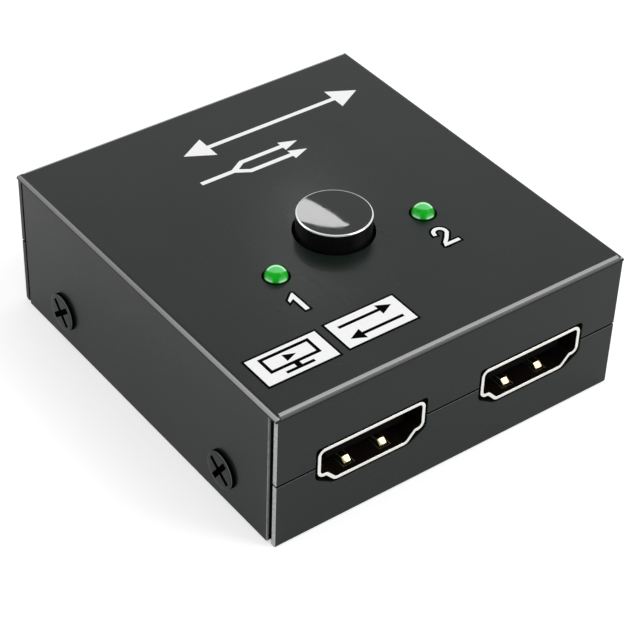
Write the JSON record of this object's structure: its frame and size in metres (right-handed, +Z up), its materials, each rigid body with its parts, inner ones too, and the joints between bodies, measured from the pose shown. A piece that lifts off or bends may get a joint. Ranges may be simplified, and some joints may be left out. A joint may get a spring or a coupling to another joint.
{
  "type": "hdmi switch",
  "caption": "Small sheet-metal video switch box with front and rear sockets, a round push button on top and green indicator lamps.",
  "frame": {"origin": "middle of the underside of the case", "axes": "+Z up through the push button, the two-socket wall faces -Y, +X to the right as seen from in front of that wall"},
  "size_m": [0.0502, 0.0532, 0.0215],
  "materials": {
    "dark_paint": "satin",
    "black_screw": "satin",
    "plated_shell": "polished",
    "socket_plastic": "matte",
    "gold_contact": "polished",
    "board_green": "satin",
    "bright_steel": "satin",
    "chip_plastic": "matte",
    "capacitor_ceramic": "matte",
    "switch_plastic": "matte",
    "switch_base_board": "matte",
    "plunger_plastic": "matte",
    "cap_plastic": "glossy",
    "lens_green": "glossy",
    "tinned_wire": "satin"
  },
  "bodies": {
    "case": {"top_cover": "dark_paint", "bottom_tray": "dark_paint", "cover_screws": "black_screw", "circuit_board": "board_green", "board_standoffs": "bright_steel", "board_screws": "bright_steel", "signal_chip": "chip_plastic", "control_chip": "chip_plastic", "ceramic_capacitors": "capacitor_ceramic", "resistors": "chip_plastic", "supply_diodes": "chip_plastic", "switch_housing": "switch_plastic", "switch_base": "switch_base_board", "switch_pins": "tinned_wire", "latch_pin": "bright_steel", "return_spring": "bright_steel", "lamp_1_lens": "lens_green", "lamp_1_leads": "tinned_wire", "lamp_2_lens": "lens_green", "lamp_2_leads": "tinned_wire", "front_left_socket_shell": "plated_shell", "front_left_socket_insulator": "socket_plastic", "front_left_socket_contacts": "gold_contact", "front_right_socket_shell": "plated_shell", "front_right_socket_insulator": "socket_plastic", "front_right_socket_contacts": "gold_contact", "rear_socket_shell": "plated_shell", "rear_socket_insulator": "socket_plastic", "rear_socket_contacts": "gold_contact"},
    "button": {"button_cap": "cap_plastic", "switch_plunger": "plunger_plastic", "contact_bridges": "gold_contact"}
  },
  "joints": [
    {"name": "button_press", "type": "slide", "parent": "case", "child": "button", "axis": [0, 0, -1], "range_m": [0, 0.002], "stiffness_N_per_m": 600, "springref_m": -0.0015, "deforming": ["return_spring"]}
  ]
}
